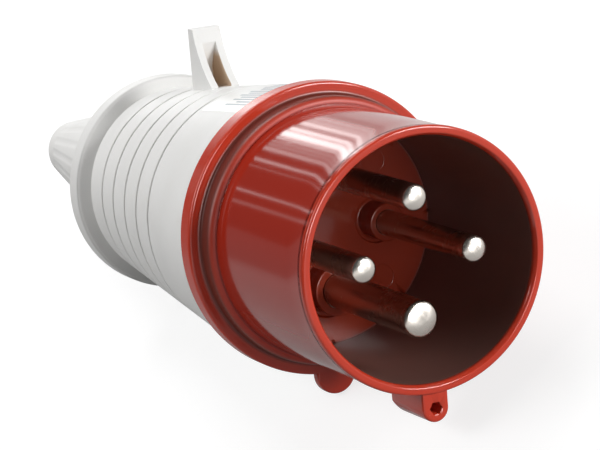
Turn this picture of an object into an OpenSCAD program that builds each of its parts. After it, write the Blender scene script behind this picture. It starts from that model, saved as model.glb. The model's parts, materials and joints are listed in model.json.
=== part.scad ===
// Industrial pin and sleeve plug, 3 phases and earth, 16 A, earth at 6 o'clock.
// Every piece is drawn along the plug's own axis: z is the distance behind the
// shroud's rim, +y is 12 o'clock. rest_pose() then lays the plug on the ground,
// front towards -Y, on its flange, its rear collar and the tab under the flange.

/* [Shroud and flange] */
// Bore radius of the shroud at its mouth
shroud_r = 23; // [22.5:0.1:23.5]
// How much narrower the bore is at the floor
shroud_draft = 0.2; // [0.1:0.05:0.4]
// Wall of the shroud
shroud_wall = 1.7; // [1.4:0.1:2]
// Depth from the rim to the floor
floor_depth = 41.3; // [38:0.1:44]
// Thickness of the floor
floor_t = 4; // [3:0.1:4.5]
// Radius of the flange
flange_r = 28.7; // [28.4:0.1:30]
// Thickness of the flange
flange_t = 4.1; // [3.5:0.1:5]
// Radius of the step in front of the flange
step_r = 26.2; // [25.6:0.1:27]
// Length of the step in front of the flange
step_len = 4; // [2.5:0.1:6]
// Height of the bead along the rim's outer edge
bead_h = 0.2; // [0.1:0.05:0.4]
// Length of the bead along the rim's outer edge
bead_len = 2.2; // [1.5:0.1:4]

/* [Key and tab] */
// Width of the key under the rim
key_w = 5.3; // [4.6:0.1:6]
// Reach of the key from the plug's axis
key_reach = 30.4; // [29:0.1:31.5]
// Length of the key along the plug
key_len = 12.6; // [10:0.1:16]
// Distance of the key's face behind the rim
key_back = 0.5; // [0.3:0.1:1.5]
// Radius over the corners of the hexagonal hole in the key
key_hole_r = 1.25; // [0.8:0.05:1.5]
// Depth of the hole in the key
key_hole_depth = 8; // [4:0.5:9]
// Length of the slope under the key's rear end
key_slope = 2.6; // [1.5:0.1:3.5]
// Radius of the tab's round end
tab_r = 4.1; // [3.5:0.1:4.4]
// Distance of the tab's centre from the plug's axis
tab_offset = 28.9; // [28:0.1:30]
// Thickness of the tab
tab_t = 2.2; // [1.6:0.1:3]

/* [Contacts] */
// Radius of the circle that the contacts stand on
pin_circle_r = 11.5; // [11:0.1:12]
// Diameter of the phase pins
phase_d = 5; // [4.8:0.1:5.2]
// Diameter of the earth pin
earth_d = 7; // [6.8:0.1:7.2]
// Distance of the phase pins' tips behind the rim
phase_tip = 1.1; // [0.5:0.1:4]
// Distance of the earth pin's tip behind the rim
earth_tip = 2.4; // [0.5:0.1:4]
// Height of the flat cone at a pin's tip
tip_cone = 1.1; // [0.8:0.1:1.6]
// Length of a pin's tip with its rounded shoulder
tip_len = 1.7; // [1.5:0.1:2.5]
// How much thicker a pin is inside its boss than in front of it
root_step = 0.3; // [0.2:0.05:0.4]
// Radius of the moulded boss around a phase pin
phase_boss_r = 3.7; // [3.4:0.1:4.2]
// Radius of the moulded boss around the earth pin
earth_boss_r = 5.1; // [4.8:0.1:5.4]
// Height of the bosses above the floor
boss_h = 4.5; // [3:0.1:6]
// Width of the moat around a boss
moat_w = 0.9; // [0.6:0.1:1.2]
// Depth of the moat around a boss
moat_depth = 0.7; // [0.4:0.1:1]
// Radius of the marks left on the floor by closed contact positions
mark_r = 2.6; // [2:0.1:3]
// Depth of the marks
mark_depth = 0.25; // [0.15:0.05:0.5]

/* [Terminals] */
// Barrel radius of a phase contact
phase_barrel_r = 4.2; // [4:0.1:4.4]
// Barrel radius of the earth contact
earth_barrel_r = 4.6; // [4.4:0.1:4.8]
// Radius of the wire hole in a barrel
wire_r = 2.2; // [2:0.05:2.4]
// Depth of the wire hole
wire_depth = 13; // [10:0.5:14]
// Distance from the floor's rear face to the barrels' ends
barrel_len = 20.6; // [20:0.1:22]
// How far a contact's collar stands out of its barrel
collar_step = 0.8; // [0.6:0.05:1]
// Thickness of a contact's collar
collar_t = 1.6; // [1.2:0.1:2]
// Shank radius of a terminal screw
terminal_screw_r = 1.6; // [1.4:0.05:1.75]
// Head radius of a terminal screw
terminal_head_r = 2.5; // [2.2:0.05:2.7]
// Distance of the terminal screws from the barrels' ends
terminal_screw_back = 5; // [4:0.1:6]
// Width of a pressure plate
plate_w = 2.6; // [2:0.1:2.8]
// Thickness of a pressure plate
plate_t = 0.7; // [0.5:0.05:0.8]
// Length of a pressure plate
plate_len = 7; // [5:0.1:8]
// Length of the terminal carrier
carrier_len = 19.6; // [19:0.1:20]
// Distance of the carrier's screws from the carrier's edge
carrier_screw_edge = 5.6; // [5.2:0.1:6]
// Shank radius of the carrier's screws
carrier_screw_r = 1.4; // [1.2:0.05:1.5]
// Head radius of the carrier's screws
carrier_head_r = 2.6; // [2.4:0.05:2.7]

/* [Housing] */
// Outer radius of the housing at its front edge
housing_front_r = 27.9; // [27.7:0.1:28.3]
// Outer radius of the housing where its taper ends
housing_rear_r = 20.5; // [20:0.1:21.5]
// Length of the housing's taper
taper_len = 65.4; // [62:0.1:68]
// Wall of the housing
housing_wall = 2.2; // [1.9:0.1:2.5]
// Wall of the housing around its front seat
seat_wall = 3.3; // [3.1:0.05:3.4]
// Length of the spigot that enters the housing
spigot_len = 11.6; // [11:0.1:12.5]
// Height of the bayonet lugs on the spigot
lug_h = 0.8; // [0.6:0.05:0.9]
// Length of a bayonet lug along the plug
lug_len = 3; // [2:0.1:3.5]
// Thickness of the seal between flange and housing
gasket_t = 1.5; // [1:0.1:2]
// Number of fine grooves around the housing
groove_count = 5; // [3:1:6]
// Distance of the first groove behind the housing's front edge
groove_first = 24.2; // [20:0.1:27]
// Spacing of the grooves
groove_pitch = 8.2; // [6:0.1:8.5]
// Width of a groove
groove_w = 0.8; // [0.5:0.05:1.2]
// Depth of a groove
groove_depth = 0.4; // [0.2:0.05:0.6]
// Outer radius of the rear collar
collar_r = 22.9; // [22.5:0.1:23.8]
// Length from the taper's end to the collar's rear face
flare_len = 6.3; // [5.5:0.1:7.5]
// Length of the collar's round edge
collar_edge = 4.2; // [3.2:0.1:4.6]
// Depth of the dip between the taper and the collar
collar_dip = 0.6; // [0.4:0.1:1]

/* [Lid catch] */
// Width of the lid catch
catch_w = 6.2; // [5:0.1:7]
// Reach of the lid catch from the plug's axis
catch_reach = 35.3; // [33:0.1:37]
// Distance of the catch's rear face behind the flange
catch_rear = 46.4; // [43:0.1:49]
// Thickness of the catch at its top
catch_top_t = 2.2; // [1.5:0.1:2.5]
// Length of the catch at the foot of its ramp
catch_foot = 9.6; // [8:0.1:10]
// Radius of the hollow ramp
catch_ramp_r = 21.2; // [18:0.2:30]
// Wall on each side of the pocket in the catch
catch_wall = 1.6; // [1.3:0.05:1.9]
// Wall behind the pocket
catch_back_t = 1.1; // [1:0.1:1.6]
// Distance from the pocket's top to the catch's top
catch_cap = 2.9; // [2:0.1:3.5]
// Height over which the pocket's back wall slopes down to its full depth
catch_slope = 5.4; // [4:0.1:7]

/* [Cable gland] */
// Radius of the threaded neck behind the collar
neck_r = 11.9; // [11.7:0.05:12]
// Bore radius of the neck
neck_bore_r = 9.9; // [9.8:0.05:10]
// Length of the neck
neck_len = 12; // [11:0.1:13]
// Radius of the gland nut at its front
nut_front_r = 16.9; // [16:0.1:17.5]
// Radius of the gland nut at its cable end
nut_end_r = 6.3; // [6.2:0.1:7]
// Length of the gland nut
nut_len = 55; // [50:0.1:58]
// Radius of the nut's cable outlet
outlet_r = 5; // [4.6:0.1:5]
// Length of the cable outlet
outlet_len = 11; // [8:0.1:14]
// Radius of the rounding at the cable end
nut_round = 1.2; // [1:0.1:1.4]
// Number of flutes around the nut
flute_count = 18; // [12:1:24]
// Radius of a flute's tool
flute_r = 1.2; // [0.8:0.05:1.5]
// Depth of a flute
flute_depth = 0.35; // [0.2:0.05:0.5]
// Number of claws on the clamping cage
claw_count = 8; // [6:1:10]
// Bore radius of the rubber sleeve
sleeve_bore_r = 5.2; // [5:0.1:5.8]
// Length of the claws behind the cage's ring
claw_len = 8.6; // [6:0.1:9.5]

/* [Hidden] */
$fn = 96;
eps = 0.01;               // overreach of a cut
far = 80;                 // reach of a cut that leaves the part
join = 1;                 // how far a piece reaches into what it grows from
edge = 0.3;               // small rounding or chamfer
chamfer = 0.4;            // chamfer of a turned edge

// clearances
slip = 0.1;               // between round pieces of one body
play = 0.3;               // between round pieces that move past each other
air = 0.2;                // around seals and in the bayonet

// colours
red = [0.80, 0.15, 0.09];
light_grey = [0.84, 0.84, 0.82];
dark_grey = [0.30, 0.31, 0.32];
nickel = [0.80, 0.78, 0.72];
steel = [0.62, 0.63, 0.65];
rubber = [0.10, 0.10, 0.11];

// stations along the plug, behind the rim
flange_rear = floor_depth + floor_t;
flange_front = flange_rear - flange_t;
step_front = flange_front - step_len;
tab_rear = flange_front + tab_t;
taper_end = flange_rear + taper_len;
collar_rear = taper_end + flare_len;
neck_end = collar_rear + neck_len;
nut_front = collar_rear + play;
nut_end = nut_front + nut_len;

// shroud
shroud_outer_r = shroud_r + shroud_wall;
rim_chamfer = 0.5;
rim_round = 0.6;
crease = 0.35;            // fine groove at the foot of the shroud
boss_top = floor_depth - boss_h;
key_slope_angle = 40;
mark_angles = [45, 135, 225, 315];

// front seat of the housing, and the shell's spigot in it
seat_r = housing_front_r - seat_wall;
spigot_r = seat_r - air;
spigot_wall = 2.1;

// contacts: angle from 12 o'clock, clockwise seen from behind
earth_angle = 180;
l1_angle = 90;
l2_angle = 0;
l3_angle = 270;
barrel_end = flange_rear + barrel_len;
terminal_screw_z = barrel_end - terminal_screw_back;
cone_share = 0.9;         // share of a pin's radius that its cone covers
shoulder_share = 0.975;   // and its rounded shoulder's middle
drill_point = 1;
head_gap = 1.2;           // between a barrel and its screw's head
plate_top = sqrt(pow(wire_r - slip, 2) - pow(plate_w / 2, 2)) - slip;

// carrier and its screws
carrier_r = spigot_r - spigot_wall - play;
carrier_screw_circle_r = carrier_r - carrier_screw_edge;
carrier_rear = flange_rear + carrier_len;
carrier_screw_angles = [45, 225];
boss_len = 5.6;
boss_r = 3.3;
web_t = 2;
head_t = 2;
slot_w = 0.8;
screw_bite = 0.8;         // how far a carrier screw enters the floor
lead_in = 1;              // funnel at a pocket's mouth
rib_t = 1.6;
rib_h = 4;
crossing_r = 4;           // room for wires across the middle

// housing
taper = (housing_front_r - housing_rear_r) / taper_len;
function housing_r(z) = housing_front_r - taper * (z - flange_rear);
seat_gap = 1.4;           // behind the spigot's end
lug_back = 1.6;           // from a lug to the spigot's end
lug_arc = 14;
groove_arc = 44;          // way that a lug turns
way_slack = 4;            // how much wider than a lug its way is, in degrees
end_slope = 3;            // slope inside the taper's end
seat_end = flange_rear + spigot_len + seat_gap;
lug_front = flange_rear + spigot_len - lug_len - lug_back;
lug_angles = [60, 180, 300];
gasket_r = seat_r + gasket_t;
gasket_seat = gasket_t + slip;
neck_seat = 1.9;          // lip in the neck that carries the sleeve and the cage
neck_lip_r = 8.6;

// cable gland
cage_ring_t = 1.2;
cage_r = neck_bore_r - slip;
claw_r = neck_bore_r - 2 * play;
claw_bore_r = 7.9;
sleeve_r = claw_bore_r - air;
washer_t = 1;
slit_w = 1.2;             // between two claws
sleeve_round = 0.7;
flute_front = 4;          // plain rim in front of the flutes
flute_back = 6;           // and behind them
nut_bore_r = neck_r + play;
cage_rear = neck_end + cage_ring_t;
washer_front = cage_rear + air;
nut_shoulder = washer_front + washer_t + slip;
nut_slope = (nut_front_r - nut_end_r) / nut_len;

// lying on the ground: the flange's rear edge and the collar's rear edge touch it,
// and the plug is rolled until the tab's rear edge touches it too
tilt = atan((flange_r - collar_r) / (collar_rear - flange_rear));
ground_at_tab = flange_r + (flange_rear - tab_rear) * tan(tilt);
roll = acos((ground_at_tab - tab_r) / tab_offset);
axis_height = flange_r * cos(tilt) + flange_rear * sin(tilt);
front_y = -(shroud_outer_r + bead_h - rim_round) * sin(tilt);
rear_y = nut_end * cos(tilt) + (nut_end_r - nut_round) * sin(tilt);

module rest_pose() {
    translate([0, -(front_y + rear_y) / 2, axis_height])
        rotate([-tilt, 0, 0])
        rotate([90, 0, 180])
        rotate([0, 0, roll])
        children();
}

// a bar along the plug from z0 to z1
module bar(r, z0, z1) {
    translate([0, 0, z0]) cylinder(r = r, h = z1 - z0);
}

// a cone along the plug from z0 to z1
module cone(r0, r1, z0, z1) {
    translate([0, 0, z0]) cylinder(r1 = r0, r2 = r1, h = z1 - z0);
}

// a ring along the plug from z0 to z1
module ring(inner, outer, z0, z1) {
    difference() {
        bar(outer, z0, z1);
        bar(inner, z0 - eps, z1 + eps);
    }
}

// children placed on a circle of radius r at a clock angle, their +y pointing outwards
module at_clock(angle, r) {
    rotate([0, 0, -angle]) translate([0, r, 0]) children();
}

// a profile of [radius, z] points turned about the plug's axis
module turned(points) {
    rotate_extrude() polygon(points);
}

// ---------------------------------------------------------------- front shell

module shroud_wall_body() {
    turned([
        [shroud_r + rim_chamfer, 0],
        [shroud_outer_r + bead_h - rim_round, 0],
        [shroud_outer_r + bead_h - rim_round * 0.3, rim_round * 0.3],
        [shroud_outer_r + bead_h, rim_round],
        [shroud_outer_r + bead_h, bead_len],
        [shroud_outer_r, bead_len + bead_h],
        [shroud_outer_r, step_front - crease],
        [shroud_outer_r - crease, step_front],
        [step_r - crease, step_front],
        [step_r, step_front + crease],
        [step_r, flange_front],
        [flange_r - rim_round, flange_front],
        [flange_r, flange_front + rim_round],
        [flange_r, flange_rear],
        [0, flange_rear],
        [0, floor_depth],
        [shroud_r - shroud_draft, floor_depth],
        [shroud_r, rim_chamfer]
    ]);
}

module key() {
    centre = key_reach - key_w / 2;
    difference() {
        translate([0, 0, key_back]) linear_extrude(key_len) {
            translate([0, -centre]) circle(r = key_w / 2);
            translate([-key_w / 2, -centre]) square([key_w, centre - shroud_r - rim_chamfer]);
        }
        bar(shroud_r + shroud_wall / 2, 0, key_back + key_len + eps);
        translate([0, -centre, key_back - eps]) cylinder(r = key_hole_r, h = key_hole_depth, $fn = 6);
        // the lower rear corner slopes off
        translate([-key_w, -key_reach, key_back + key_len - key_slope])
            rotate([-key_slope_angle, 0, 0]) translate([0, -far, 0]) cube([2 * key_w, far, far]);
    }
}

module tab() {
    translate([0, -tab_offset, flange_front]) cylinder(r = tab_r, h = tab_t);
}

module pin_boss(angle, boss_radius) {
    at_clock(angle, pin_circle_r) bar(boss_radius, boss_top, floor_depth + floor_t / 2);
}

module pin_hole(angle, pin_r) {
    at_clock(angle, pin_circle_r) bar(pin_r + root_step + slip / 2, boss_top - eps, flange_rear + eps);
}

module moat(angle, boss_radius) {
    at_clock(angle, pin_circle_r) ring(boss_radius, boss_radius + moat_w, floor_depth - eps,
                                       floor_depth + moat_depth);
}

module bayonet_lug(angle) {
    intersection() {
        ring(spigot_r - join / 2, spigot_r + lug_h, lug_front, lug_front + lug_len);
        rotate([0, 0, -angle]) wedge(lug_arc);
    }
}

// a sector of the given arc about +y, reaching past the part
module wedge(arc) {
    linear_extrude(collar_rear)
        polygon([[0, 0], [-far * sin(arc / 2), far * cos(arc / 2)], [far * sin(arc / 2), far * cos(arc / 2)]]);
}

module front_shell() {
    color(red) rest_pose() difference() {
        union() {
            shroud_wall_body();
            key();
            tab();
            ring(spigot_r - spigot_wall, spigot_r, flange_rear - join, flange_rear + spigot_len);
            for (a = lug_angles) bayonet_lug(a);
            pin_boss(earth_angle, earth_boss_r);
            for (a = [l1_angle, l2_angle, l3_angle]) pin_boss(a, phase_boss_r);
            for (a = carrier_screw_angles)
                at_clock(a, carrier_screw_circle_r) bar(boss_r, flange_rear - join, flange_rear + boss_len);
        }
        moat(earth_angle, earth_boss_r);
        for (a = [l1_angle, l2_angle, l3_angle]) moat(a, phase_boss_r);
        pin_hole(earth_angle, earth_d / 2);
        for (a = [l1_angle, l2_angle, l3_angle]) pin_hole(a, phase_d / 2);
        for (a = mark_angles)
            at_clock(a, carrier_screw_circle_r) bar(mark_r, floor_depth - join, floor_depth + mark_depth);
        for (a = carrier_screw_angles)
            at_clock(a, carrier_screw_circle_r)
                bar(carrier_screw_r + slip / 2, flange_rear - 2 * screw_bite, flange_rear + boss_len + eps);
    }
}

// ------------------------------------------------------------------- contacts

module contact(angle, pin_r, tip, barrel_r) {
    wall_hole = terminal_screw_r + slip / 2;
    color(nickel) rest_pose() at_clock(angle, pin_circle_r) difference() {
        turned([
            [0, tip],
            [pin_r * cone_share, tip + tip_cone],
            [pin_r * shoulder_share, tip + (tip_cone + tip_len) / 2],
            [pin_r, tip + tip_len],
            [pin_r, boss_top],
            [pin_r + root_step, boss_top],
            [pin_r + root_step, flange_rear],
            [barrel_r + collar_step, flange_rear],
            [barrel_r + collar_step, flange_rear + collar_t],
            [barrel_r, flange_rear + collar_t],
            [barrel_r, barrel_end - chamfer],
            [barrel_r - chamfer, barrel_end],
            [wire_r + chamfer, barrel_end],
            [wire_r, barrel_end - chamfer],
            [wire_r, barrel_end - wire_depth],
            [0, barrel_end - wire_depth - drill_point]
        ]);
        translate([0, 0, terminal_screw_z]) rotate([-90, 0, 0]) cylinder(r = wall_hole, h = barrel_r + join);
    }
}

module earth_pin() { contact(earth_angle, earth_d / 2, earth_tip, earth_barrel_r); }
module l1_pin() { contact(l1_angle, phase_d / 2, phase_tip, phase_barrel_r); }
module l2_pin() { contact(l2_angle, phase_d / 2, phase_tip, phase_barrel_r); }
module l3_pin() { contact(l3_angle, phase_d / 2, phase_tip, phase_barrel_r); }

// radial screw through the barrel's wall, its tip on the pressure plate
module terminal_screw(angle, barrel_r) {
    head_base = barrel_r + head_gap;
    color(steel) rest_pose() at_clock(angle, pin_circle_r) translate([0, 0, terminal_screw_z])
        rotate([-90, 0, 0]) difference() {
            turned([
                [0, plate_top],
                [terminal_screw_r - chamfer, plate_top],
                [terminal_screw_r, plate_top + chamfer],
                [terminal_screw_r, head_base],
                [terminal_head_r, head_base],
                [terminal_head_r, head_base + head_t - edge],
                [terminal_head_r - edge, head_base + head_t],
                [0, head_base + head_t]
            ]);
            translate([-far, -slot_w / 2, head_base + head_t / 2]) cube([2 * far, slot_w, far]);
        }
}

module earth_terminal_screw() { terminal_screw(earth_angle, earth_barrel_r); }
module l1_terminal_screw() { terminal_screw(l1_angle, phase_barrel_r); }
module l2_terminal_screw() { terminal_screw(l2_angle, phase_barrel_r); }
module l3_terminal_screw() { terminal_screw(l3_angle, phase_barrel_r); }

// flat plate inside the wire hole, pressed on the wire by the screw
module pressure_plate(angle) {
    color(steel) rest_pose() at_clock(angle, pin_circle_r)
        translate([-plate_w / 2, plate_top - plate_t, terminal_screw_z - plate_len / 2])
        cube([plate_w, plate_t, plate_len]);
}

module earth_pressure_plate() { pressure_plate(earth_angle); }
module l1_pressure_plate() { pressure_plate(l1_angle); }
module l2_pressure_plate() { pressure_plate(l2_angle); }
module l3_pressure_plate() { pressure_plate(l3_angle); }

// ----------------------------------------------------------- terminal carrier

module contact_pocket(angle, barrel_r) {
    at_clock(angle, pin_circle_r) {
        bar(barrel_r + collar_step + slip, flange_rear - eps, flange_rear + collar_t + slip);
        bar(barrel_r + slip, flange_rear, carrier_rear + eps);
        cone(barrel_r + slip, barrel_r + slip + lead_in, carrier_rear - lead_in, carrier_rear + eps);
        // way in for the screwdriver
        translate([0, 0, terminal_screw_z]) rotate([-90, 0, 0])
            cylinder(r = terminal_head_r + air, h = far);
    }
}

module terminal_carrier() {
    web_front = flange_rear + boss_len + slip;
    rib_reach = carrier_screw_circle_r - carrier_head_r - rib_t;
    color(dark_grey) rest_pose() difference() {
        union() {
            bar(carrier_r, flange_rear, carrier_rear);
            // low walls between the wires
            for (a = [45, 135])
                rotate([0, 0, a]) translate([-rib_reach, -rib_t / 2, carrier_rear - join])
                    cube([2 * rib_reach, rib_t, rib_h + join]);
        }
        contact_pocket(earth_angle, earth_barrel_r);
        for (a = [l1_angle, l2_angle, l3_angle]) contact_pocket(a, phase_barrel_r);
        for (a = carrier_screw_angles) at_clock(a, carrier_screw_circle_r) {
            bar(boss_r + slip, flange_rear - eps, web_front);
            bar(carrier_screw_r + slip, web_front - eps, carrier_rear + eps);
            bar(carrier_head_r + air, web_front + web_t, carrier_rear + eps);
        }
        // clearance for wires bent across the middle
        bar(crossing_r, carrier_rear - crossing_r, carrier_rear + far);
    }
}

module carrier_screw(angle) {
    head_base = flange_rear + boss_len + slip + web_t;
    color(steel) rest_pose() at_clock(angle, carrier_screw_circle_r) difference() {
        union() {
            bar(carrier_screw_r, flange_rear - screw_bite, head_base + eps);
            bar(carrier_head_r, head_base, head_base + head_t);
        }
        translate([-far, -slot_w / 2, head_base + head_t / 2]) cube([2 * far, slot_w, far]);
    }
}

module carrier_screw_1() { carrier_screw(carrier_screw_angles[0]); }
module carrier_screw_2() { carrier_screw(carrier_screw_angles[1]); }

module flange_gasket() {
    color(rubber) rest_pose()
        ring(spigot_r + slip, gasket_r - slip, flange_rear, flange_rear + gasket_t);
}

// -------------------------------------------------------------------- housing

module housing_outside() {
    edge_front = collar_rear - collar_edge;
    dip_rear = (taper_end + edge_front) / 2 - edge;
    turned([
        [0, flange_rear],
        [housing_front_r - edge, flange_rear],
        [housing_front_r, flange_rear + edge],
        [housing_rear_r, taper_end],
        [housing_rear_r - collar_dip, taper_end + edge],
        [housing_rear_r - collar_dip, dip_rear],
        [collar_r - chamfer, edge_front - edge],
        [collar_r, edge_front + edge],
        [collar_r, collar_rear],
        [neck_r, collar_rear],
        [neck_r, neck_end - chamfer],
        [neck_r - chamfer, neck_end],
        [0, neck_end]
    ]);
}

module housing_inside() {
    inner_end = taper_end - end_slope / 2;
    turned([
        [0, flange_rear - join],
        [seat_r, flange_rear - join],
        [seat_r, seat_end],
        [housing_r(seat_end + join) - housing_wall, seat_end + join],
        [housing_r(inner_end) - housing_wall, inner_end],
        [neck_lip_r + end_slope / 2, inner_end + end_slope],
        [neck_lip_r, inner_end + end_slope * 1.5],
        [neck_lip_r, collar_rear + neck_seat],
        [neck_bore_r, collar_rear + neck_seat],
        [neck_bore_r, neck_end + join],
        [0, neck_end + join]
    ]);
}

// axial way in and turning way of one bayonet lug
module bayonet_way(angle) {
    way_r = spigot_r + lug_h + air;
    intersection() {
        bar(way_r, flange_rear - join, lug_front + lug_len + air);
        rotate([0, 0, -angle - groove_arc + lug_arc]) wedge(lug_arc + way_slack);
    }
    intersection() {
        bar(way_r, lug_front - air, lug_front + lug_len + air);
        rotate([0, 0, -angle - (groove_arc - lug_arc) / 2]) wedge(groove_arc + way_slack);
    }
}

module lid_catch() {
    rear = flange_rear + catch_rear;
    foot_z = rear - catch_foot;
    top_front = [rear - catch_top_t, catch_reach];
    foot_front = [foot_z, housing_r(foot_z) + slip];
    chord = foot_front - top_front;
    half = norm(chord) / 2;
    out = [chord[1], -chord[0]] / norm(chord);
    ramp = (top_front + foot_front) / 2 + out * sqrt(pow(catch_ramp_r, 2) - half * half);
    root = housing_rear_r - join;
    // the pocket starts on the ramp under the cap and gets deeper downwards
    cap_r = catch_reach - catch_cap;
    cap_z = ramp[0] + sqrt(pow(catch_ramp_r, 2) - pow(cap_r - ramp[1], 2));
    deep = [rear - catch_back_t, cap_r - catch_slope];
    lean = ([cap_z, cap_r] - deep) * 1.2;
    difference() {
        translate([-catch_w / 2, root, foot_z - join]) cube([catch_w, catch_reach - root, catch_foot + join]);
        // hollow ramp towards the front
        translate([-catch_w, ramp[1], ramp[0]]) rotate([0, 90, 0])
            cylinder(r = catch_ramp_r, h = 2 * catch_w, $fn = 180);
        rotate([0, -90, 0]) rotate([0, 0, 90]) mirror([0, 1, 0])
            translate([0, 0, -catch_w / 2 + catch_wall])
            linear_extrude(catch_w - 2 * catch_wall)
            polygon([
                [root - join, far - rear],
                [deep[1] + lean[1], far - rear],
                [deep[1] + lean[1], -deep[0] - lean[0]],
                [deep[1], -deep[0]],
                [root - join, -deep[0]]
            ]);
    }
}

module housing() {
    color(light_grey) rest_pose() difference() {
        union() {
            housing_outside();
            lid_catch();
        }
        housing_inside();
        bar(gasket_r, flange_rear - join, flange_rear + gasket_seat);
        for (a = lug_angles) bayonet_way(a);
        for (i = [0 : groove_count - 1]) {
            z = flange_rear + groove_first + i * groove_pitch;
            ring(housing_r(z) - groove_depth, far, z - groove_w / 2, z + groove_w / 2);
        }
    }
}

// ---------------------------------------------------------------- cable gland

module clamp_cage() {
    color(dark_grey) rest_pose() difference() {
        turned([
            [claw_bore_r, collar_rear + neck_seat + slip],
            [cage_r, collar_rear + neck_seat + slip],
            [cage_r, neck_end],
            [neck_r - slip, neck_end],
            [neck_r - slip, cage_rear],
            [claw_r, cage_rear],
            [claw_r - chamfer, cage_rear + claw_len],
            [claw_bore_r, cage_rear + claw_len]
        ]);
        for (i = [0 : claw_count - 1])
            rotate([0, 0, 360 / claw_count * (i + 0.5)])
                translate([-slit_w / 2, 0, cage_rear + chamfer]) cube([slit_w, far, claw_len]);
    }
}

module cable_sleeve() {
    front = collar_rear + neck_seat + slip;
    rear = cage_rear + claw_len - sleeve_round;
    color(rubber) rest_pose() turned([
        [sleeve_bore_r + sleeve_round, front],
        [sleeve_r, front],
        [sleeve_r, rear - sleeve_round],
        [sleeve_r - sleeve_round, rear],
        [sleeve_bore_r + sleeve_round, rear],
        [sleeve_bore_r, rear - sleeve_round],
        [sleeve_bore_r, front + sleeve_round]
    ]);
}

module thrust_washer() {
    color(steel) rest_pose() ring(claw_r + play, nut_bore_r - slip, washer_front, washer_front + washer_t);
}

module gland_nut() {
    taper_angle = atan(nut_slope);
    color(light_grey) rest_pose() difference() {
        turned([
            [nut_bore_r + chamfer, nut_front],
            [nut_front_r - chamfer, nut_front],
            [nut_front_r, nut_front + chamfer],
            [nut_end_r + nut_slope * nut_round, nut_end - nut_round],
            [nut_end_r - nut_round * 0.3, nut_end - nut_round * 0.35],
            [nut_end_r - nut_round * 0.8, nut_end],
            [outlet_r, nut_end],
            [outlet_r, nut_end - outlet_len],
            [claw_r + play, nut_shoulder + claw_len + join],
            [claw_r + 2 * play, nut_shoulder],
            [nut_bore_r, nut_shoulder],
            [nut_bore_r, nut_front + chamfer]
        ]);
        for (i = [0 : flute_count - 1])
            rotate([0, 0, 360 / flute_count * i])
                translate([0, nut_front_r + (flute_r - flute_depth) / cos(taper_angle), nut_front])
                rotate([taper_angle, 0, 0])
                translate([0, 0, flute_front]) cylinder(r = flute_r, h = nut_len - flute_front - flute_back, $fn = 24);
    }
}

front_shell();
earth_pin();
l1_pin();
l2_pin();
l3_pin();
terminal_carrier();
carrier_screw_1();
carrier_screw_2();
earth_terminal_screw();
l1_terminal_screw();
l2_terminal_screw();
l3_terminal_screw();
earth_pressure_plate();
l1_pressure_plate();
l2_pressure_plate();
l3_pressure_plate();
flange_gasket();
housing();
clamp_cage();
cable_sleeve();
thrust_washer();
gland_nut();
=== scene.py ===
# %% [markdown]
# ## A four-pin industrial plug
#
# The real plug is a handful of mouldings and turned metal pins on one axis.
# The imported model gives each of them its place; here they get the rounded
# edges, fine marks and finishes that make them look like plastic and metal.
# Everything is worked out in millimetres along the plug's own axis and laid
# in its place at the very end, so that one profile reads like a drawing.

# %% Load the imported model
import json
import bpy, bmesh
import numpy as np
from mathutils import Matrix, Quaternion, Vector


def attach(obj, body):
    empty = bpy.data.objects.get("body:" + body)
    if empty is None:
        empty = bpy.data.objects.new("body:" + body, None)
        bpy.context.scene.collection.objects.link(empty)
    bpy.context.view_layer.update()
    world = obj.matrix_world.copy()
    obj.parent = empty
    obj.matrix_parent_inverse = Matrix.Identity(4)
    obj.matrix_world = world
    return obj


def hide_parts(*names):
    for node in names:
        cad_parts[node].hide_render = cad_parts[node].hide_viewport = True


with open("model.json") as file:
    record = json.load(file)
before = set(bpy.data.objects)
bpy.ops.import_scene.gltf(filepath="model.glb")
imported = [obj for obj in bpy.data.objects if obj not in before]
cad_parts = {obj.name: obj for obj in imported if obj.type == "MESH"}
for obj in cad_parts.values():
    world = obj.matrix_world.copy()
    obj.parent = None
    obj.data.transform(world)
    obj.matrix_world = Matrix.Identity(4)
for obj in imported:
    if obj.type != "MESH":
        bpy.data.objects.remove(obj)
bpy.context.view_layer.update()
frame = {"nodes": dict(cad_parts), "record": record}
nodes = frame["nodes"]
print("loaded", len(nodes), "pieces of the model")

# %% [markdown]
# ## The plug's own axes
#
# The plug lies tilted and rolled on the ground. Three directions describe
# that: rearward along the cable, noon towards 12 o'clock (opposite the earth
# pin), and side. A point given as side, noon and distance behind the rim then
# goes to its place with one matrix product, for any number of points at once.

# %% Find the axes
mounts = {m["name"]: m for m in frame["record"]["mounts"]}
rim_centre = np.array(mounts["keyed_shroud"]["pos_m"]) * 1000
rearward = -np.array(mounts["keyed_shroud"]["axis"])
rearward /= np.linalg.norm(rearward)
noon = rim_centre - np.array(mounts["earth_contact"]["pos_m"]) * 1000
noon -= rearward * (noon @ rearward)
noon /= np.linalg.norm(noon)
side = np.cross(noon, rearward)


def placed(points):
    """Plug points in millimetres to places in metres: centre + x side + y noon + z rearward."""
    return (rim_centre + points @ np.array([side, noon, rearward])) / 1000


print("rim centre at", rim_centre.round(2), "mm")

# %% [markdown]
# ## Camera
#
# The plug points at the viewer and to the right, seen a little from above.
# A long lens keeps the round mouth close to a true ellipse. The plug lies on
# its flange and its rear collar and is rolled over, and the camera is rolled
# with it so that its key still points down in the frame.

# %% Aim the camera


def add_object(name, data):
    """New object in the scene."""
    made = bpy.data.objects.new(name, data)
    bpy.context.scene.collection.objects.link(made)
    return made


camera_at = Vector((-0.15055, -0.53708, 0.29564))
camera_looks_at = Vector((0.00203, -0.02486, 0.02296))
camera_roll = -33.97

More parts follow.
